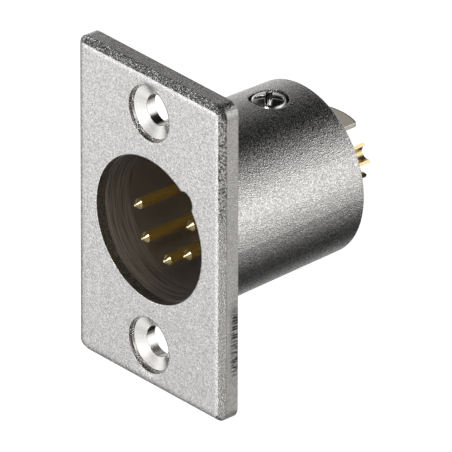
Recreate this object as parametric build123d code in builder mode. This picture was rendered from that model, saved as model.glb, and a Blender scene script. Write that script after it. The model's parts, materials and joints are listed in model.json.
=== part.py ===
from build123d import *
from math import atan2, cos, degrees, radians, sin
import os

os.makedirs("parts", exist_ok=True)

# A male panel receptacle. The socket axis is Y and the flange stands upright along Z.
# The flange's back face lies at y = 0, its front and the pin tips face -Y, the solder cups face +Y.

# Flange
flange_width = 23.8
flange_height = 38.4
flange_thickness = 2.45
flange_corner_radius = 1.4
front_bevel_width = 0.75
front_bevel_depth = 0.65
back_edge_chamfer = 0.2

# Fixing holes: a rim stepped by a narrow ledge, a shallow cone as the screw's seat, and a through hole
fixing_spacing = 28.2
fixing_hole_radius = 1.8
fixing_rim_radius = 3.27
fixing_rim_depth = 0.3
fixing_ledge_width = 0.17
fixing_step_depth = 0.3
fixing_cone_depth = 0.7

# Barrel, cast with draft so that it narrows towards the rear
barrel_length = 19.8
barrel_root_radius = 10.37
barrel_end_radius = 9.95
barrel_root_chamfer = 0.3
barrel_end_chamfer = 0.15

# Bore: a cast lip at the mouth, a turned lead-in, a smooth bore, then a wider rear chamber
mouth_radius = 8.54
lip_depth = 1.1
lip_step = 0.14
lead_in_length = 3.3
bore_radius = 8.0
insulator_face_depth = 14.0
chamber_step = 0.72

# Keyway: a half-round groove along the bore, towards the upper right
keyway_radius = 1.3
keyway_angle = 45.5

# Insulator, whose spigot enters the bore while its body seats on the shoulder of the chamber
spigot_length = 0.9
insulator_recess = 1.0
insulator_clearance = 0.05
insulator_chamfer = 0.3

# Contacts, on equal places around a circle with the places at the top left empty
contact_count = 5
contact_empty_places = 2
contact_circle_radius = 4.39
contact_turn = -5.2
contact_clearance = 0.03
contact_seat_depth = 1.4
neck_step = 0.2
neck_stand = 0.3
pin_radius = 0.6
pin_tip_depth = 1.8
pin_point_length = 0.6
pin_point_radius = 0.1
cup_radius = 1.16
cup_bore_radius = 0.78
cup_bore_length = 4.2
cup_reach = 5.5
scoop_length = 3.4
scoop_rounding = 0.7
scoop_turn = -8

# Lock screw in the top of the barrel
screw_inset = 5.05
screw_head_radius = 2.1
screw_hole_clearance = 0.15
screw_head_height = 1.35
screw_dome_height = 0.5
screw_rim_chamfer = 0.3
screw_seat_cut = 0.25
shank_radius = 1.25
shank_length = 5.3
shank_clearance = 0.15
well_extra_depth = 0.5
recess_span = 3.1
recess_width = 0.72
recess_depth = 1.3
recess_taper = 5
recess_turn = 45

# Ground lug, a flat strip with a rounded tail
lug_half_width = 2.73
lug_thickness = 0.52
lug_height = 4.08
lug_front_margin = 2.1
lug_reach = 5.72
lug_tail_radius = 7.5
lug_corner_rounding = 0.3
lug_clearance = 0.06
lug_thread_clearance = 0.02
solder_hole_radius = 0.9
solder_hole_inset = 2.9

# Places along Y that the pieces share
front_face = -flange_thickness
lead_in_start = front_face + lip_depth
lead_in_end = lead_in_start + lead_in_length
insulator_front = front_face + insulator_face_depth
shoulder = insulator_front + spigot_length
insulator_back = barrel_length - insulator_recess
contact_seat = insulator_front + contact_seat_depth
pin_tip = front_face + pin_tip_depth
neck_start = insulator_front - neck_stand
cup_end = barrel_length + cup_reach
screw_place = barrel_length - screw_inset
lug_front = screw_place - lug_front_margin
lug_end = barrel_length + lug_reach

# Radii and heights that the pieces share
fixing_seat_radius = fixing_rim_radius - fixing_ledge_width
neck_radius = pin_radius + neck_step
chamber_radius = bore_radius + chamber_step
insulator_radius = chamber_radius - insulator_clearance
screw_seat = insulator_radius - screw_seat_cut
lug_top = lug_height + lug_thickness
contact_pitch = 360 / (contact_count + contact_empty_places)
keyway_place = (bore_radius * sin(radians(keyway_angle)), bore_radius * cos(radians(keyway_angle)))


def section(place):
    """The plane across the socket axis at y = place, whose own x and y are X and Z."""
    return Plane.XZ.offset(-place)


def contact_angle(number):
    """The angle of a contact from the top, counted towards +X."""
    return contact_turn + contact_pitch * (number + (contact_empty_places + 1) / 2)


def contact_place(number):
    """The X and Z of a contact's axis."""
    angle = radians(contact_angle(number))
    return contact_circle_radius * sin(angle), contact_circle_radius * cos(angle)


def make_contact(number):
    """A turned contact: pointed pin, collar in the insulator, and a cup scooped open on its outer side."""
    x, z = contact_place(number)
    axis = Axis((x, 0, z), (0, 1, 0))
    scoop_angle = radians(contact_angle(number) + scoop_turn)
    open_side = (sin(scoop_angle), 0, cos(scoop_angle))
    lengthwise = Plane(origin=(x, 0, z), x_dir=open_side, z_dir=(-cos(scoop_angle), 0, sin(scoop_angle)))
    with BuildPart() as contact:
        with BuildSketch(lengthwise):
            with BuildLine():
                Polyline(
                    (0, pin_tip),
                    (pin_point_radius, pin_tip),
                    (pin_radius, pin_tip + pin_point_length),
                    (pin_radius, neck_start),
                    (neck_radius, neck_start + neck_step),
                    (neck_radius, contact_seat),
                    (cup_radius, contact_seat),
                    (cup_radius, cup_end),
                    (0, cup_end),
                    close=True,
                )
            make_face()
        revolve(axis=axis)
        # Cup bore
        with BuildSketch(section(cup_end)):
            with Locations((x, z)):
                Circle(cup_bore_radius)
        extrude(amount=cup_bore_length, mode=Mode.SUBTRACT)
        # Scoop down to the cup's axis, with a round start
        with BuildSketch(lengthwise):
            with BuildLine():
                Polyline(
                    (0, cup_end),
                    (cup_radius, cup_end),
                    (cup_radius, cup_end - scoop_length),
                    (scoop_rounding, cup_end - scoop_length),
                )
                RadiusArc(
                    (scoop_rounding, cup_end - scoop_length),
                    (0, cup_end - scoop_length + scoop_rounding),
                    scoop_rounding,
                )
                Line((0, cup_end - scoop_length + scoop_rounding), (0, cup_end))
            make_face()
        extrude(amount=cup_radius, both=True, mode=Mode.SUBTRACT)
    return contact.part


# Shell: one casting with the flange and the barrel
with BuildPart() as shell:
    with BuildSketch(section(0)):
        RectangleRounded(flange_width, flange_height, flange_corner_radius)
    extrude(amount=flange_thickness)
    flange_front = shell.faces().sort_by(Axis.Y)[0]
    chamfer(flange_front.edges(), front_bevel_width, front_bevel_depth, reference=flange_front)
    flange_back = shell.faces().sort_by(Axis.Y)[-1]
    chamfer(flange_back.edges(), back_edge_chamfer)
    with BuildSketch(Plane.XY):
        with BuildLine():
            Polyline(
                (0, front_face + front_bevel_depth),
                (barrel_root_radius, front_face + front_bevel_depth),
                (barrel_root_radius + barrel_root_chamfer, 0),
                (barrel_root_radius, barrel_root_chamfer),
                (barrel_end_radius, barrel_length - barrel_end_chamfer),
                (barrel_end_radius - barrel_end_chamfer, barrel_length),
                (0, barrel_length),
                close=True,
            )
        make_face()
    revolve(axis=Axis.Y)
    # Bore
    with BuildSketch(Plane.XY):
        with BuildLine():
            Polyline(
                (0, front_face),
                (mouth_radius, front_face),
                (mouth_radius, lead_in_start),
                (mouth_radius - lip_step, lead_in_start),
                (bore_radius, lead_in_end),
                (bore_radius, shoulder),
                (chamber_radius, shoulder),
                (chamber_radius, barrel_length),
                (0, barrel_length),
                close=True,
            )
        make_face()
    revolve(axis=Axis.Y, mode=Mode.SUBTRACT)
    # Keyway, which also runs on to locate the insulator
    with BuildSketch(section(front_face)):
        with Locations(keyway_place):
            Circle(keyway_radius)
    extrude(amount=front_face - barrel_length, mode=Mode.SUBTRACT)
    # Fixing holes, from the front
    with Locations(section(front_face)):
        with GridLocations(0, fixing_spacing, 1, 2):
            Hole(fixing_rim_radius, fixing_rim_depth)
            Hole(fixing_seat_radius, fixing_rim_depth + fixing_step_depth)
    cone_angle = 2 * degrees(atan2(fixing_seat_radius - fixing_hole_radius, fixing_cone_depth))
    with Locations(section(front_face + fixing_rim_depth + fixing_step_depth)):
        with GridLocations(0, fixing_spacing, 1, 2):
            CounterSinkHole(fixing_hole_radius, fixing_seat_radius, flange_thickness, cone_angle)
    # Hole for the lock screw's head, in the top of the barrel
    with BuildSketch(Plane.XY):
        with Locations((0, screw_place)):
            Circle(screw_head_radius + screw_hole_clearance)
    extrude(amount=barrel_root_radius, mode=Mode.SUBTRACT)

# Insulator
with BuildPart() as insulator:
    with BuildSketch(Plane.XY):
        with BuildLine():
            Polyline(
                (0, insulator_front),
                (bore_radius - insulator_clearance, insulator_front),
                (bore_radius - insulator_clearance, shoulder),
                (insulator_radius, shoulder),
                (insulator_radius, insulator_back - insulator_chamfer),
                (insulator_radius - insulator_chamfer, insulator_back),
                (0, insulator_back),
                close=True,
            )
        make_face()
    revolve(axis=Axis.Y)
    # Rib that slides in the keyway
    with BuildSketch(section(shoulder)):
        with Locations(keyway_place):
            Circle(keyway_radius - insulator_clearance)
    extrude(amount=shoulder - insulator_back + insulator_chamfer)
    # Slot for the ground lug, open at the rear
    with BuildSketch(section(insulator_back)):
        with Locations((0, lug_height)):
            Rectangle(
                2 * (lug_half_width + lug_clearance),
                lug_thickness + lug_clearance,
                align=(Align.CENTER, Align.MIN),
            )
    extrude(amount=insulator_back - lug_front + lug_clearance, mode=Mode.SUBTRACT)
    # Well for the screw's shank, and the flat seat for its head
    with BuildSketch(Plane.XY.offset(screw_seat - shank_length - well_extra_depth)):
        with Locations((0, screw_place)):
            Circle(shank_radius + shank_clearance)
    extrude(amount=shank_length + well_extra_depth, mode=Mode.SUBTRACT)
    with BuildSketch(Plane.XY.offset(screw_seat)):
        with Locations((0, screw_place)):
            Circle(screw_head_radius + screw_hole_clearance)
    extrude(amount=screw_seat_cut, mode=Mode.SUBTRACT)
    # Stepped holes for the contacts
    with BuildSketch(section(insulator_front)):
        with Locations([contact_place(number) for number in range(contact_count)]):
            Circle(neck_radius + contact_clearance)
    extrude(amount=insulator_front - contact_seat, mode=Mode.SUBTRACT)
    with BuildSketch(section(contact_seat)):
        with Locations([contact_place(number) for number in range(contact_count)]):
            Circle(cup_radius + contact_clearance)
    extrude(amount=contact_seat - insulator_back, mode=Mode.SUBTRACT)

# Ground lug, resting on the floor of its slot
with BuildPart() as ground_lug:
    tail_bulge = lug_tail_radius - (lug_tail_radius**2 - lug_half_width**2) ** 0.5
    with BuildSketch(Plane.XY.offset(lug_height)) as lug_outline:
        with BuildLine():
            Polyline(
                (-lug_half_width, lug_end - tail_bulge),
                (-lug_half_width, lug_front),
                (lug_half_width, lug_front),
                (lug_half_width, lug_end - tail_bulge),
            )
            ThreePointArc(
                (lug_half_width, lug_end - tail_bulge),
                (0, lug_end),
                (-lug_half_width, lug_end - tail_bulge),
            )
        make_face()
        fillet(lug_outline.vertices().group_by(Axis.Y)[-1], lug_corner_rounding)
        with Locations((0, screw_place)):
            Circle(shank_radius + lug_thread_clearance, mode=Mode.SUBTRACT)
        with Locations((0, lug_end - solder_hole_inset)):
            Circle(solder_hole_radius, mode=Mode.SUBTRACT)
    extrude(amount=lug_thickness)

# Lock screw, with a domed head and a cross recess
with BuildPart() as lock_screw:
    head_rim = screw_seat + screw_head_height
    head_top = head_rim + screw_dome_height
    dome_radius = (screw_head_radius**2 + screw_dome_height**2) / (2 * screw_dome_height)
    with BuildSketch(section(screw_place)) as screw_profile:
        with BuildLine():
            Polyline(
                (0, head_top),
                (0, screw_seat - shank_length),
                (shank_radius, screw_seat - shank_length),
                (shank_radius, screw_seat),
                (screw_head_radius, screw_seat),
                (screw_head_radius, head_rim),
            )
            RadiusArc((screw_head_radius, head_rim), (0, head_top), -dome_radius)
        make_face()
        chamfer(screw_profile.vertices().group_by(Axis.X)[-1].sort_by(Axis.Y)[-1], screw_rim_chamfer)
    revolve(axis=Axis((0, screw_place, 0), (0, 0, 1)))
    with BuildSketch(Plane.XY.offset(head_top)):
        with Locations(Location((0, screw_place, 0), (0, 0, recess_turn))):
            Rectangle(recess_span, recess_width)
            Rectangle(recess_width, recess_span)
    extrude(amount=-recess_depth, taper=recess_taper, mode=Mode.SUBTRACT)

# Labels and files
shell.part.label = "shell"
insulator.part.label = "insulator"
ground_lug.part.label = "ground_lug"
lock_screw.part.label = "lock_screw"
export_step(shell.part, "parts/shell.step")
export_step(insulator.part, "parts/insulator.step")
export_step(ground_lug.part, "parts/ground_lug.step")
export_step(lock_screw.part, "parts/lock_screw.step")
for number in range(contact_count):
    contact = make_contact(number)
    contact.label = f"contact_{number + 1}"
    export_step(contact, f"parts/contact_{number + 1}.step")
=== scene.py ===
import json
from math import cos, radians, sin
from types import SimpleNamespace

import bpy
from mathutils import Matrix, Vector

MM = 0.001


def grey(level, warmth=0.0):
    """A grey colour, warmer as warmth grows."""
    return (level * (1 + warmth), level, level * (1 - warmth), 1.0)


WHITE = grey(1.0)

# The part's own sizes, in metres, as the frame has them
FLANGE_FRONT = -2.45 * MM
FLANGE_BEVEL_DEPTH = 0.65 * MM
FACE_HALF_WIDTH = 11.15 * MM
FACE_HALF_HEIGHT = 18.45 * MM
FIXING_OFFSET = 14.1 * MM
FIXING_RIM_RADIUS = 3.27 * MM
FIXING_SEAT_RADIUS = 3.1 * MM
MOUTH_RADIUS = 8.54 * MM
LIP_DEPTH = 1.1 * MM
LEAD_IN_DEPTH = 4.4 * MM
KEYWAY_X = 5.706 * MM
KEYWAY_Z = 5.607 * MM
KEYWAY_RADIUS = 1.3 * MM
PIN_POINT_END = -0.05 * MM
CUP_START = 12.9 * MM
LUG_TAIL_RADIUS = 7.5 * MM
LUG_TAIL_CENTRE = 18.02 * MM
SCREW_PLACE = 14.75 * MM
SLOT_REACH = 0.53 * MM
RECESS_RADIUS = 1.56 * MM

# How far a surface's mask reaches past the surface itself
EDGE = 0.02 * MM
BORE_MARGIN = 0.2 * MM

# How far edges are rounded, by place
ROUNDING_SAMPLES = 6
FACE_ROUNDING = 1.0 * MM
EDGE_ROUNDING = 0.25 * MM
HOLE_ROUNDING = 0.06 * MM
LUG_ROUNDING = 0.12 * MM
SCREW_ROUNDING = 0.25 * MM

# The casting's grain: how wide each kind is
DIMPLE_SIZE = 0.13 * MM
SPECK_SIZE = 0.115 * MM
FINE_SIZE = 0.16 * MM
COARSE_SIZE = 0.25 * MM
COARSE_ROUGHNESS = 0.65
DRAG_SIZE = 0.12 * MM
DRAG_STRETCH = (1.0, 0.1, 1.0)
TURNING_SIZE = 0.12 * MM
TURNING_STRETCH = (0.02, 1.0, 0.02)
CONE_LINE_SIZE = 0.1 * MM
CONE_LINE_ROUGHNESS = 0.6
TINT_SIZE = 2.5 * MM

# The casting's bumps: how strong and how deep each is
FACE_GRAIN = 0.2
DIMPLE_DEPTH = 0.038 * MM
FINE_DEPTH = 0.008 * MM
BEVEL_PIT_DEPTH = 0.14 * MM
DRAG_STRENGTH = 0.8
DRAG_DEPTH = 0.05 * MM
LIP_STRENGTH = 0.8
LIP_GRIT_DEPTH = 0.12 * MM
TURNING_STRENGTH = 0.6
TURNING_DEPTH = 0.03 * MM
RIM_STRENGTH = 0.8
CONE_STRENGTH = 0.08
RIM_PIT_DEPTH = 0.08 * MM
CONE_LINE_STRENGTH = 0.5
CONE_LINE_DEPTH = 0.004 * MM

# The casting's colours, from the first to the second as the noise between them grows
FACE_COLOURS = (grey(0.55, 0.014), grey(0.60, 0.010))
SIDE_COLOURS = (grey(0.55, 0.035), grey(0.60, 0.030))
DARK_SPECK = grey(0.2, 0.03)
DARK_SPECK_SHARE = 0.48
LIGHT_SPECK = grey(0.97, 0.02)
LIGHT_SPECK_SHARE = 0.54
# Painted glints: a few grain cells are painted pale as pin-point highlights
PAINTED_GLINT = grey(0.97, 0.01)
PAINTED_GLINT_FROM = 0.95
PAINTED_GLINT_SHARE = 0.6
# The end bevels: real pits in the bump, with painted shade as their dark colour and painted glints as
# their white specks
PITTED_SHADE_AND_GLINT_COLOURS = (grey(0.24, 0.01), grey(0.97))
PITTED_GLINT_SPECKS = (0.7, 0.85)
LONG_SIDE_COLOURS = (grey(0.50, 0.04), grey(0.90, 0.03))
LONG_BEVEL_COLOURS = (grey(0.62, 0.035), grey(0.92, 0.03))
TURNED_COLOURS = ((0.40, 0.395, 0.41, 1.0), (0.74, 0.73, 0.77, 1.0))
TURNED_LINES = (0.38, 0.56)
# Painted shade: the step behind the lip is painted near black
STEP_PAINTED_SHADE = grey(0.12, 0.1)
LIP_COLOURS = (grey(0.22, 0.10), grey(0.55, 0.06))
LIP_GRIT = (0.4, 0.7)
BORE_COLOUR = (0.66, 0.645, 0.67, 1.0)
# Painted highlight: the countersink cones are a paler copy of the nickel
CONE_PAINTED_HIGHLIGHT = grey(0.80, 0.025)
# The rim walls inside the fixing holes: speckled grain, over painted shade
RIM_SHADE_AND_GRAIN_COLOURS = (grey(0.2, 0.05), grey(0.62, 0.03))

# Marks on the flange. Painted shade: the upper right corner is painted dark, behind a ragged line
# where x + z passes CORNER
CORNER = 29.5 * MM
CORNER_FADE = 0.3 * MM
CORNER_RAGGEDNESS = 1.5 * MM
# Painted shade over the corner's bevels, and partly over its long side
CORNER_PAINTED_SHADE = grey(0.08)
CORNER_SIDE_PAINTED_SHADE = grey(0.3)
CORNER_SIDE_SHADE_SHARE = 0.4
# Short dark dashes lie across the right side, below its middle
DASHES_PLACE = -9.5 * MM
DASHES_REACH = (3 * MM, 5.5 * MM)
DASHES_DEPTH = (1.0 * MM, 1.6 * MM)
DASHES_NOISE = (0.43, 0.51)
DASHES_COLOUR = grey(0.07, 0.03)
# Pits darken the upper half of the long bevels
PITS_HEIGHT = (1 * MM, 9 * MM)
PITS_NOISE = (0.42, 0.54)
PITS_COLOUR = grey(0.14, 0.03)
# The ends are paler towards the left, and the lower corners dull
LEFT_END = (-11.5 * MM, -7 * MM)
LEFT_END_COLOURS = (grey(0.6), grey(0.99))
LOW_CORNER = -18.2 * MM
LOW_CORNER_FADE = 0.5 * MM
LOW_CORNER_METALLIC = 0.25

# The casting's roughness
BLASTED_ROUGHNESS = (0.23, 0.30)
HOLE_ROUGHNESS = 0.22
BORE_ROUGHNESS = 0.42
LONG_SIDE_ROUGHNESS = 0.4

# The black moulding
MOULDING_COLOURS = (grey(0.026), grey(0.040))
MOULDING_CLOUD_SIZE = 3.0 * MM
MOULDING_ROUGHNESS = (0.42, 0.55)
MOULDING_GRAIN_SIZE = 0.12 * MM
MOULDING_GRAIN_STRENGTH = 0.25
MOULDING_GRAIN_DEPTH = 0.01 * MM

# The gold contacts
PIN_COLOURS = ((0.99, 0.62, 0.13, 1.0), (1.0, 0.72, 0.20, 1.0))
PIN_METALLIC = 0.88
PIN_ROUGHNESS = 0.3
# Painted highlight: the points are a paler copy of the pins' gold
POINT_PAINTED_HIGHLIGHT = (1.0, 0.80, 0.42, 1.0)
POINT_ROUGHNESS = 0.32
CUP_COLOURS = ((0.68, 0.55, 0.30, 1.0), (0.84, 0.70, 0.40, 1.0))
CUP_ROUGHNESS = (0.24, 0.34)
CONTACT_CLOUD_SIZE = 1.5 * MM
CONTACT_RING_SIZE = 0.12 * MM
CONTACT_RING_STRETCH = (0.05, 1.0, 0.05)
CONTACT_RING_STRENGTH = 0.3
CONTACT_RING_DEPTH = 0.004 * MM

# The ground lug's nickel strip, with a painted dark reflection as a line along its tail's edge
STRIP_COLOURS = ((0.80, 0.73, 0.61, 1.0), (0.96, 0.89, 0.77, 1.0))
STRIP_ROUGHNESS = (0.26, 0.36)
STRIP_CLOUD_SIZE = 1.2 * MM
STRIP_CLOUD_ROUGHNESS = 0.6
STRIP_LINE_SIZE = 0.1 * MM
STRIP_LINE_STRETCH = (1.0, 0.05, 1.0)
STRIP_LINE_STRENGTH = 0.3
STRIP_LINE_DEPTH = 0.006 * MM
LUG_RIM = 0.16 * MM
LUG_RIM_PAINTED_REFLECTION = grey(0.12, 0.05)
LUG_RIM_REFLECTION_SHARE = 0.9

# The nickel screw
SCREW_COLOURS = (grey(0.66, 0.02), grey(0.76, 0.01))
# Painted shade in the screw's cross recess
SCREW_RECESS_PAINTED_SHADE = grey(0.42, 0.02)
SCREW_ROUGHNESS = (0.14, 0.26)
SCREW_CLOUD_SIZE = 0.8 * MM
SCREW_CLOUD_STRENGTH = 0.15
SCREW_CLOUD_DEPTH = 0.02 * MM

# The photograph's viewpoint: a long lens, well back
CAMERA_AZIMUTH = 48.452
CAMERA_ELEVATION = 28.24
CAMERA_ROLL = 0.117
CAMERA_DISTANCE = 1.7185
CAMERA_RIGHT = 8.292 * MM
CAMERA_UP = 0.423 * MM
CAMERA_CLIP = (0.1, 10)
SENSOR_WIDTH = 36.0
IMAGE_WIDTH = 452
FOCAL_PIXELS = 16000

# The studio: a pale floor, one soft lamp, and soft panels in the world, each with its direction, the
# angle where its fade starts, the angle where it ends, and its strength
FLOOR_HEIGHT = -19.2 * MM
FLOOR_SIZE = 4.0
FLOOR_COLOUR = grey(0.8)
FLOOR_ROUGHNESS = 0.9
FLOOR_FILL = 0.9
# Painted shadow: what metal sees through the floor is dimmed near the object
FLOOR_NEAR_PAINTED_SHADOW = 0.85
FLOOR_PAINTED_SHADOW_REACH = 70 * MM
LAMP_FROM = (0.42, -0.66, 0.62)
LAMP_DISTANCE = 0.6
LAMP_SIZE = 0.14
LAMP_POWER = 1.0
STUDIO_BASE = 0.007
STUDIO_FRONT_TOP = 0.15
STUDIO_FRONT_FADE = 0.36
STUDIO_PANELS = {
    "right_rear": ((0.80, 0.584, 0.135), 3, 41, 1.54),
    "right_low": ((0.62, 0.584, -0.52), 3, 20, 0.28),
    "left_rear": ((-0.781, 0.584, 0.224), 3, 27, 0.55),
    "left": ((-0.95, 0.27, 0.05), 4, 18, 1.7),
    "low_left": ((-0.655, 0.584, -0.48), 5, 34, 0.78),
    "front_left": ((-0.5, -0.8, -0.25), 15, 54, 1.05),
    "face_top": ((-0.66, -0.74, -0.12), 4, 18, 1.0),
    "low_front": ((-0.27, -0.43, -0.86), 5, 32, 0.8),
    "right_front_low": ((0.88, -0.08, -0.47), 5, 35, 0.3),
    "front": ((-0.15, -0.97, 0.15), 8, 44, 0.82),
    "front_low": ((-0.13, -0.87, -0.48), 3, 14, 1.6),
    "back": ((0.0, 1.0, -0.05), 22, 33, 0.75),
    "above": ((0.0, -0.5, 0.87), 5, 26, 0.5),
    "high_left": ((-0.4, -0.25, 0.88), 4, 24, 0.8),
    "left_side": ((-0.9, -0.2, 0.35), 8, 36, 0.6),
    "right_side": ((0.95, -0.1, 0.3), 8, 38, 0.45),
    "front_low_right": ((0.485, -0.737, -0.473), 8, 40, 0.34),
}


class Nodes:
    """A short way to build a node tree."""

    def __init__(self, tree):
        self.tree = tree

    def add(self, kind, **settings):
        node = self.tree.nodes.new(kind)
        for key, value in settings.items():
            setattr(node, key, value)
        return node

    def link(self, source, target):
        self.tree.links.new(source, target)

    def put(self, socket, value):
        """Links a socket's source, or sets a plain value."""
        if isinstance(value, bpy.types.NodeSocket):
            self.link(value, socket)
        else:
            socket.default_value = value

    def math(self, operation, first, second=0.0):
        node = self.add("ShaderNodeMath", operation=operation)
        self.put(node.inputs[0], first)
        self.put(node.inputs[1], second)
        return node.outputs[0]

    def plus(self, first, second):
        return self.math("ADD", first, second)

    def less(self, first, second):
        """A number less another, or a mask without the part of it that another covers."""
        return self.math("SUBTRACT", first, second)

    def times(self, first, second):
        """A number times another, or the place where both of two masks hold."""
        return self.math("MULTIPLY", first, second)

    def either(self, first, second):
        """The larger of two numbers, or the place where either of two masks holds."""
        return self.math("MAXIMUM", first, second)

    def above(self, value, limit):
        """A mask: 1 where a number is over a limit, and 0 elsewhere."""
        return self.math("GREATER_THAN", value, limit)

    def below(self, value, limit):
        """A mask: 1 where a number is under a limit, and 0 elsewhere."""
        return self.math("LESS_THAN", value, limit)

    def size(self, value):
        """A number without its sign."""
        return self.math("ABSOLUTE", value)

    def length(self, first, second):
        """The length of two coordinates taken together."""
        return self.math("SQRT", self.plus(self.times(first, first), self.times(second, second)))

    def split(self, vector):
        """The three coordinates of a vector."""
        node = self.add("ShaderNodeSeparateXYZ")
        self.link(vector, node.inputs[0])
        return node.outputs

    def ramp(self, value, low, high, from_low=0.0, from_high=1.0, smooth=False):
        """From low to high, as a number goes from from_low to from_high."""
        node = self.add("ShaderNodeMapRange", clamp=True)
        node.interpolation_type = "SMOOTHSTEP" if smooth else "LINEAR"
        self.put(node.inputs["Value"], value)
        node.inputs["From Min"].default_value = from_low
        node.inputs["From Max"].default_value = from_high
        self.put(node.inputs["To Min"], low)
        self.put(node.inputs["To Max"], high)
        return node.outputs["Result"]

    def rise(self, value, start, end, smooth=False):
        """A mask that grows from 0 to 1 between two numbers."""
        return self.ramp(value, 0.0, 1.0, start, end, smooth)

    def fall(self, value, start, end):
        """A mask that fades from 1 to 0 between two numbers."""
        return self.ramp(value, 1.0, 0.0, start, end)

    def mix(self, factor, first, second):
        """A number between two numbers."""
        node = self.add("ShaderNodeMix", data_type="FLOAT")
        self.put(node.inputs["Factor"], factor)
        self.put(node.inputs[2], first)
        self.put(node.inputs[3], second)
        return node.outputs[0]

    def blend(self, factor, first, second):
        """A colour between two colours."""
        node = self.add("ShaderNodeMix", data_type="RGBA")
        self.put(node.inputs["Factor"], factor)
        self.put(node.inputs[6], first)
        self.put(node.inputs[7], second)
        return node.outputs[2]

    def choose(self, factor, first, second):
        """A shader between two shaders."""
        node = self.add("ShaderNodeMixShader")
        for socket, source in zip(node.inputs, (factor, first, second)):
            self.link(source, socket)
        return node.outputs[0]


class Finish(Nodes):
    """A material's node tree, with the object's own coordinates."""

    def __init__(self, name):
        self.material = bpy.data.materials.new(name)
        self.material.use_nodes = True
        super().__init__(self.material.node_tree)
        self.shader = self.tree.nodes["Principled BSDF"]
        self.coords = self.add("ShaderNodeTexCoord").outputs["Object"]

    def vector(self, first, second, third):
        """A vector from three numbers."""
        node = self.add("ShaderNodeCombineXYZ")
        for socket, value in zip(node.inputs, (first, second, third)):
            self.put(socket, value)
        return node.outputs[0]

    def stretch(self, scale):
        """The object's coordinates, scaled by axis."""
        node = self.add("ShaderNodeVectorMath", operation="MULTIPLY")
        self.link(self.coords, node.inputs[0])
        node.inputs[1].default_value = scale
        return node.outputs[0]

    def noise(self, size, detail=2.0, roughness=0.5, vector=None):
        """Noise whose features are about `size` metres across."""
        node = self.add("ShaderNodeTexNoise")
        self.link(vector or self.coords, node.inputs["Vector"])
        node.inputs["Scale"].default_value = 1 / size
        node.inputs["Detail"].default_value = detail
        node.inputs["Roughness"].default_value = roughness
        return node.outputs["Fac"]

    def cells(self, size):
        """Cells about `size` metres across: the distance to a cell's middle, and its random number."""
        node = self.add("ShaderNodeTexVoronoi")
        self.link(self.coords, node.inputs["Vector"])
        node.inputs["Scale"].default_value = 1 / size
        apart = self.add("ShaderNodeSeparateColor")
        self.link(node.outputs["Color"], apart.inputs[0])
        return node.outputs["Distance"], apart.outputs[0]

    def rounded(self, radius):
        """The surface's normal, with its edges rounded."""
        node = self.add("ShaderNodeBevel", samples=ROUNDING_SAMPLES)
        self.put(node.inputs["Radius"], radius)
        return node.outputs[0]

    def bump(self, height, strength, depth, below=None):
        """Bump, over another normal where there is one. Strength is a number or a socket."""
        node = self.add("ShaderNodeBump")
        self.put(node.inputs["Height"], height)
        self.put(node.inputs["Strength"], strength)
        node.inputs["Distance"].default_value = depth
        if below is not None:
            self.link(below, node.inputs["Normal"])
        return node.outputs["Normal"]

    def set(self, **values):
        """Sets the shader's own sockets."""
        for key, value in values.items():
            self.put(self.shader.inputs[key.replace("_", " ")], value)


def casting_places(n):
    """The casting's coordinates, and a mask for each of its surfaces."""
    at = SimpleNamespace()
    at.x, at.y, at.z = n.split(n.coords)
    across = n.size(at.x)
    along = n.size(at.z)
    at.depth = n.less(at.y, FLANGE_FRONT)
    at.hole_radius = n.length(at.x, n.less(along, FIXING_OFFSET))
    key_radius = n.length(n.less(at.x, KEYWAY_X), n.less(at.z, KEYWAY_Z))
    behind_face = n.above(at.depth, EDGE)
    # Inside the holes
    near_bore = n.below(n.length(at.x, at.z), MOUTH_RADIUS + BORE_MARGIN)
    in_key = n.below(key_radius, KEYWAY_RADIUS + EDGE)
    at.in_bore = n.times(n.either(near_bore, in_key), behind_face)
    in_flange = n.times(behind_face, n.below(at.y, -EDGE))
    at.in_hole = n.times(n.below(at.hole_radius, FIXING_RIM_RADIUS + EDGE), in_flange)
    at.rim_wall = n.times(at.in_hole, n.above(at.hole_radius, FIXING_SEAT_RADIUS))
    at.inside = n.either(at.in_bore, at.in_hole)
    at.outside = n.less(1.0, at.inside)
    # Along the bore: the lip, the step behind it, the turned lead-in and the rest
    at.lip = n.times(at.in_bore, n.below(at.depth, LIP_DEPTH - EDGE))
    at.deep = n.times(at.in_bore, n.above(at.depth, LEAD_IN_DEPTH))
    at.turned = n.less(n.less(at.in_bore, at.lip), at.deep)
    at.step = n.times(at.turned, n.below(at.depth, LIP_DEPTH + EDGE))
    # Round the flange: bevels and sides, at its two ends and along its two long sides
    barrel_and_back = n.times(at.outside, n.above(at.y, -EDGE))
    edge = n.less(n.times(behind_face, at.outside), barrel_and_back)
    at.beyond_face = n.either(barrel_and_back, edge)
    at_ends = n.above(n.less(along, across), FACE_HALF_HEIGHT - FACE_HALF_WIDTH)
    at.bevel = n.times(edge, n.below(at.depth, FLANGE_BEVEL_DEPTH))
    at.end_bevel = n.times(at.bevel, at_ends)
    at.long_bevel = n.less(at.bevel, at.end_bevel)
    at.side = n.less(edge, at.bevel)
    at.end_side = n.times(at.side, at_ends)
    at.long_side = n.less(at.side, at.end_side)
    # The border of the front face
    past_border = n.either(
        n.less(across, FACE_HALF_WIDTH - FACE_ROUNDING),
        n.less(along, FACE_HALF_HEIGHT - FACE_ROUNDING),
    )
    at.face_border = n.times(n.above(past_border, 0.0), n.less(1.0, behind_face))
    return at


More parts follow.
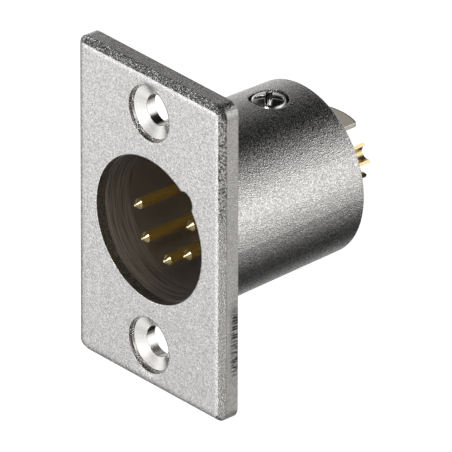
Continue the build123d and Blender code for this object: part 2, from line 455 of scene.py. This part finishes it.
def casting_grain(n, at):
    """The casting's noises: blasting, pits, drag lines and turned lines."""
    grain = SimpleNamespace()
    grain.dimple, grain.facet = n.cells(DIMPLE_SIZE)
    _, grain.speck = n.cells(SPECK_SIZE)
    grain.fine = n.noise(FINE_SIZE, detail=1.0)
    grain.coarse = n.noise(COARSE_SIZE, detail=3.0, roughness=COARSE_ROUGHNESS)
    grain.drag = n.noise(DRAG_SIZE, vector=n.stretch(DRAG_STRETCH))
    grain.turning = n.noise(TURNING_SIZE, detail=1.0, vector=n.stretch(TURNING_STRETCH))
    round_hole = n.vector(at.hole_radius, at.y, 0.0)
    grain.cone_lines = n.noise(CONE_LINE_SIZE, roughness=CONE_LINE_ROUGHNESS, vector=round_hole)
    return grain


def casting_normal(n, at, grain):
    """Rounded edges, with each surface's own grain over them."""
    rounding = n.mix(at.face_border, EDGE_ROUNDING, FACE_ROUNDING)
    normal = n.rounded(n.mix(at.inside, rounding, HOLE_ROUNDING))
    blasted = n.times(n.mix(at.beyond_face, FACE_GRAIN, 1.0), at.outside)
    countersunk = n.mix(at.rim_wall, n.times(at.in_hole, CONE_STRENGTH), RIM_STRENGTH)
    for height, strength, depth in (
        (grain.dimple, blasted, DIMPLE_DEPTH),
        (grain.fine, blasted, FINE_DEPTH),
        (grain.coarse, at.end_bevel, BEVEL_PIT_DEPTH),
        (grain.drag, n.times(at.end_side, DRAG_STRENGTH), DRAG_DEPTH),
        (grain.coarse, n.times(at.lip, LIP_STRENGTH), LIP_GRIT_DEPTH),
        (grain.turning, n.times(at.turned, TURNING_STRENGTH), TURNING_DEPTH),
        (grain.coarse, countersunk, RIM_PIT_DEPTH),
        (grain.cone_lines, n.times(at.in_hole, CONE_LINE_STRENGTH), CONE_LINE_DEPTH),
    ):
        normal = n.bump(height, strength, depth, normal)
    return normal


def casting_plain(n, at, grain):
    """Blasted nickel, as on the face and the barrel, with painted glints on a few grain cells."""
    tint = n.noise(TINT_SIZE, detail=3.0)
    plain = n.blend(at.beyond_face, n.blend(tint, *FACE_COLOURS), n.blend(tint, *SIDE_COLOURS))
    dark = n.blend(DARK_SPECK_SHARE, plain, DARK_SPECK)
    light = n.blend(LIGHT_SPECK_SHARE, plain, LIGHT_SPECK)
    plain = n.blend(grain.speck, dark, light)
    # Painted glints on a few grain cells
    glints = n.times(n.above(grain.facet, PAINTED_GLINT_FROM), PAINTED_GLINT_SHARE)
    plain = n.blend(glints, plain, PAINTED_GLINT)
    left_end = n.times(at.end_side, n.fall(at.x, *LEFT_END))
    return n.blend(left_end, plain, n.blend(grain.speck, *LEFT_END_COLOURS))


def casting_colour(n, at, grain):
    """The casting's colour, surface by surface."""
    # Painted shade: the upper right corner is painted dark
    ragged = n.times(n.less(grain.coarse, 0.5), CORNER_RAGGEDNESS)
    towards_corner = n.plus(n.plus(at.x, at.z), ragged)
    corner = n.rise(towards_corner, CORNER - CORNER_FADE, CORNER + CORNER_FADE)
    # The long sides, with painted shade at the upper right corner and the dashes on the right one
    long_side_and_shade = n.blend(grain.speck, *LONG_SIDE_COLOURS)
    long_side_and_shade = n.blend(n.times(corner, CORNER_SIDE_SHADE_SHARE), long_side_and_shade, CORNER_SIDE_PAINTED_SHADE)
    near_dashes = n.fall(n.size(n.less(at.z, DASHES_PLACE)), *DASHES_REACH)
    dashes = n.times(n.rise(grain.drag, *DASHES_NOISE), n.rise(at.depth, *DASHES_DEPTH))
    dashes = n.times(n.times(dashes, near_dashes), n.above(at.x, 0.0))
    long_side_and_shade = n.blend(dashes, long_side_and_shade, DASHES_COLOUR)
    # The long bevels
    pits = n.times(n.fall(grain.coarse, *PITS_NOISE), n.rise(at.z, *PITS_HEIGHT, smooth=True))
    long_bevel_colour = n.blend(pits, n.blend(grain.speck, *LONG_BEVEL_COLOURS), PITS_COLOUR)
    colour = casting_plain(n, at, grain)
    for place, finish in (
        # Painted shade and painted glints on the pitted end bevels
        (at.end_bevel, n.blend(n.rise(grain.speck, *PITTED_GLINT_SPECKS), *PITTED_SHADE_AND_GLINT_COLOURS)),
        # Painted shade on the bevels at the upper right corner
        (n.times(at.bevel, corner), CORNER_PAINTED_SHADE),
        (at.long_side, long_side_and_shade),
        # Painted shade at the upper right corner of the long bevels
        (at.long_bevel, n.blend(corner, long_bevel_colour, CORNER_PAINTED_SHADE)),
        (at.turned, n.blend(n.rise(grain.turning, *TURNED_LINES), *TURNED_COLOURS)),
        # Painted shade on the step behind the lip
        (at.step, STEP_PAINTED_SHADE),
        (at.lip, n.blend(n.rise(grain.coarse, *LIP_GRIT), *LIP_COLOURS)),
        (at.deep, BORE_COLOUR),
        # Painted highlight on the countersink cones
        (at.in_hole, CONE_PAINTED_HIGHLIGHT),
        # Painted shade, with speckled grain, on the rim walls inside the fixing holes
        (at.rim_wall, n.blend(grain.speck, *RIM_SHADE_AND_GRAIN_COLOURS)),
    ):
        colour = n.blend(place, colour, finish)
    return colour


def nickel_casting():
    """Blasted nickel, with a gritty lip, a turned lead-in, countersinks painted bright as a highlight,
    painted shade on the step and the rim walls, painted glints, and marked edges with painted shade at
    the upper right corner.
    """
    n = Finish("nickel_casting")
    at = casting_places(n)
    grain = casting_grain(n, at)
    rough = n.mix(at.in_hole, n.ramp(grain.fine, *BLASTED_ROUGHNESS), HOLE_ROUGHNESS)
    rough = n.mix(at.in_bore, rough, BORE_ROUGHNESS)
    low = n.fall(at.z, LOW_CORNER - LOW_CORNER_FADE, LOW_CORNER + LOW_CORNER_FADE)
    n.set(
        Base_Color=casting_colour(n, at, grain),
        Metallic=n.mix(n.times(at.side, low), 1.0, LOW_CORNER_METALLIC),
        Roughness=n.mix(at.long_side, rough, LONG_SIDE_ROUGHNESS),
        Normal=casting_normal(n, at, grain),
    )
    return n.material


def black_moulding():
    """Fine matte black plastic."""
    n = Finish("black_moulding")
    fine = n.noise(MOULDING_GRAIN_SIZE)
    cloud = n.noise(MOULDING_CLOUD_SIZE)
    n.set(
        Base_Color=n.blend(cloud, *MOULDING_COLOURS),
        Roughness=n.ramp(cloud, *MOULDING_ROUGHNESS),
        Normal=n.bump(fine, MOULDING_GRAIN_STRENGTH, MOULDING_GRAIN_DEPTH),
    )
    return n.material


def gold_contact():
    """Thin gold over turned brass: satin pins with points painted paler as a highlight, and pale cups.
    """
    n = Finish("gold_contact")
    _, y, _ = n.split(n.coords)
    on_cup = n.above(y, CUP_START)
    on_point = n.below(y, PIN_POINT_END)
    rings = n.noise(CONTACT_RING_SIZE, vector=n.stretch(CONTACT_RING_STRETCH))
    cloud = n.noise(CONTACT_CLOUD_SIZE, detail=3.0)
    # Painted highlight on the pins' points
    front = n.blend(on_point, n.blend(cloud, *PIN_COLOURS), POINT_PAINTED_HIGHLIGHT)
    front_roughness = n.mix(on_point, PIN_ROUGHNESS, POINT_ROUGHNESS)
    n.set(
        Base_Color=n.blend(on_cup, front, n.blend(cloud, *CUP_COLOURS)),
        Metallic=n.either(on_point, PIN_METALLIC),
        Roughness=n.mix(on_cup, front_roughness, n.ramp(cloud, *CUP_ROUGHNESS)),
        Normal=n.bump(rings, CONTACT_RING_STRENGTH, CONTACT_RING_DEPTH),
    )
    return n.material


def nickel_strip():
    """Matte nickel on stamped strip, warm where it is thin, with a painted dark reflection along its
    tail's edge.
    """
    n = Finish("nickel_strip")
    x, y, _ = n.split(n.coords)
    tail = n.length(x, n.less(y, LUG_TAIL_CENTRE))
    rim = n.times(
        n.above(tail, LUG_TAIL_RADIUS - LUG_RIM),
        n.below(tail, LUG_TAIL_RADIUS - EDGE),
    )
    cloud = n.noise(STRIP_CLOUD_SIZE, detail=3.0, roughness=STRIP_CLOUD_ROUGHNESS)
    lines = n.noise(STRIP_LINE_SIZE, vector=n.stretch(STRIP_LINE_STRETCH))
    # Painted dark reflection along the tail's edge
    rim_reflection_share = n.times(rim, LUG_RIM_REFLECTION_SHARE)
    n.set(
        Base_Color=n.blend(rim_reflection_share, n.blend(cloud, *STRIP_COLOURS), LUG_RIM_PAINTED_REFLECTION),
        Metallic=1.0,
        Roughness=n.ramp(cloud, *STRIP_ROUGHNESS),
        Normal=n.bump(lines, STRIP_LINE_STRENGTH, STRIP_LINE_DEPTH, n.rounded(LUG_ROUNDING)),
    )
    return n.material


def nickel_screw():
    """Bright nickel on a small screw, with painted shade in its cross recess."""
    n = Finish("nickel_screw")
    x, y, _ = n.split(n.coords)
    back = n.less(y, SCREW_PLACE)
    first_slot = n.below(n.size(n.plus(x, back)), SLOT_REACH)
    second_slot = n.below(n.size(n.less(x, back)), SLOT_REACH)
    in_reach = n.below(n.length(x, back), RECESS_RADIUS)
    # Painted shade: the cross recess is painted darker
    recess = n.times(n.either(first_slot, second_slot), in_reach)
    cloud = n.noise(SCREW_CLOUD_SIZE, detail=3.0)
    n.set(
        Base_Color=n.blend(recess, n.blend(cloud, *SCREW_COLOURS), SCREW_RECESS_PAINTED_SHADE),
        Metallic=1.0,
        Roughness=n.ramp(cloud, *SCREW_ROUGHNESS),
        Normal=n.bump(cloud, SCREW_CLOUD_STRENGTH, SCREW_CLOUD_DEPTH, n.rounded(SCREW_ROUNDING)),
    )
    return n.material


def dress(frame):
    """Gives each CAD node the finish of its slot."""
    finishes = {
        "nickel_casting": nickel_casting(),
        "black_moulding": black_moulding(),
        "gold_contact": gold_contact(),
        "nickel_strip": nickel_strip(),
        "nickel_screw": nickel_screw(),
    }
    slots = {part["node"]: part["material_slot"] for part in frame["record"]["subparts"]}
    for name, node in frame["nodes"].items():
        node.data.materials.clear()
        node.data.materials.append(finishes[slots[name]])


def studio():
    """A white background to the camera, and soft panels of light for everything else."""
    world = bpy.data.worlds.new("studio")
    bpy.context.scene.world = world
    world.use_nodes = True
    world.node_tree.nodes.clear()
    n = Nodes(world.node_tree)
    direction = n.add("ShaderNodeTexCoord").outputs["Generated"]
    total = STUDIO_BASE
    for towards, inner, outer, strength in STUDIO_PANELS.values():
        dot = n.add("ShaderNodeVectorMath", operation="DOT_PRODUCT")
        n.link(direction, dot.inputs[0])
        dot.inputs[1].default_value = Vector(towards).normalized()
        start, end = cos(radians(outer)), cos(radians(inner))
        panel = n.ramp(dot.outputs["Value"], 0.0, strength, start, end, smooth=True)
        total = n.plus(total, panel)
    # The panels at the front stop a little above the horizon
    _, y, z = n.split(direction)
    high = n.rise(z, STUDIO_FRONT_TOP, STUDIO_FRONT_FADE, smooth=True)
    total = n.mix(n.times(high, n.below(y, 0.0)), total, STUDIO_BASE)
    light = n.add("ShaderNodeBackground")
    n.link(total, light.inputs["Strength"])
    white = n.add("ShaderNodeBackground")
    for background in (light, white):
        background.inputs["Color"].default_value = WHITE
    to_camera = n.add("ShaderNodeLightPath").outputs["Is Camera Ray"]
    surface = n.choose(to_camera, light.outputs[0], white.outputs[0])
    n.link(surface, n.add("ShaderNodeOutputWorld").inputs["Surface"])


def floor():
    """A pale floor that stays white behind the object and keeps its shadow."""
    mesh = bpy.data.meshes.new("floor")
    half = FLOOR_SIZE / 2
    corners = [(-half, -half), (half, -half), (half, half), (-half, half)]
    mesh.from_pydata([(x, y, FLOOR_HEIGHT) for x, y in corners], [], [(0, 1, 2, 3)])
    ground = bpy.data.objects.new("floor", mesh)
    bpy.context.scene.collection.objects.link(ground)
    n = Finish("floor")
    path = n.add("ShaderNodeLightPath").outputs
    n.set(
        Base_Color=FLOOR_COLOUR,
        Roughness=FLOOR_ROUGHNESS,
        Emission_Color=WHITE,
        Emission_Strength=n.times(path["Is Camera Ray"], FLOOR_FILL),
    )
    # Metal sees the studio's low panels through the floor, dimmer close to the object: a painted
    # shadow in its reflections
    x, y, _ = n.split(n.coords)
    clear = n.add("ShaderNodeBsdfTransparent")
    painted_floor_shadow = n.ramp(n.length(x, y), FLOOR_NEAR_PAINTED_SHADOW, 1.0, 0.0, FLOOR_PAINTED_SHADOW_REACH)
    n.link(painted_floor_shadow, clear.inputs["Color"])
    surface = n.choose(path["Is Glossy Ray"], n.shader.outputs[0], clear.outputs[0])
    n.link(surface, n.tree.nodes["Material Output"].inputs["Surface"])
    mesh.materials.append(n.material)


def lamp():
    """One small soft lamp, high at the front."""
    data = bpy.data.lights.new("lamp", "AREA")
    data.shape = "DISK"
    data.size = LAMP_SIZE
    data.energy = LAMP_POWER
    light = bpy.data.objects.new("lamp", data)
    towards = Vector(LAMP_FROM).normalized()
    light.location = towards * LAMP_DISTANCE
    light.rotation_euler = towards.to_track_quat("Z", "Y").to_euler()
    bpy.context.scene.collection.objects.link(light)


def camera():
    """The camera at the photograph's viewpoint."""
    azimuth, elevation, roll = (radians(a) for a in (CAMERA_AZIMUTH, CAMERA_ELEVATION, CAMERA_ROLL))
    back = Vector((sin(azimuth) * cos(elevation), -cos(azimuth) * cos(elevation), sin(elevation)))
    level = Vector((cos(azimuth), sin(azimuth), 0))
    up = back.cross(level)
    right = cos(roll) * level + sin(roll) * up
    up = back.cross(right)
    centre = Vector((0, FLANGE_FRONT, 0)) + right * CAMERA_RIGHT + up * CAMERA_UP
    data = bpy.data.cameras.new("camera")
    data.sensor_width = SENSOR_WIDTH
    data.lens = FOCAL_PIXELS / IMAGE_WIDTH * SENSOR_WIDTH
    data.clip_start, data.clip_end = CAMERA_CLIP
    view = bpy.data.objects.new("camera", data)
    turn = Matrix((right, up, back)).transposed().to_4x4()
    view.matrix_world = Matrix.Translation(centre + back * CAMERA_DISTANCE) @ turn
    bpy.context.scene.collection.objects.link(view)
    bpy.context.scene.camera = view


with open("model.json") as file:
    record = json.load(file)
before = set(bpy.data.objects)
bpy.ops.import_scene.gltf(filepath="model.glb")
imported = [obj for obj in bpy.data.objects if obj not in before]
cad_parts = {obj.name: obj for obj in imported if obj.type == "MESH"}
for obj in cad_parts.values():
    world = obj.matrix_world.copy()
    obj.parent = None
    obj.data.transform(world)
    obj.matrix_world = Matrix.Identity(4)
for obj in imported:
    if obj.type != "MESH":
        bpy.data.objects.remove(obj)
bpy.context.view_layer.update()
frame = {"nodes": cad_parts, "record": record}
bpy.context.scene.view_settings.view_transform = "Standard"
dress(frame)
studio()
floor()
lamp()
camera()
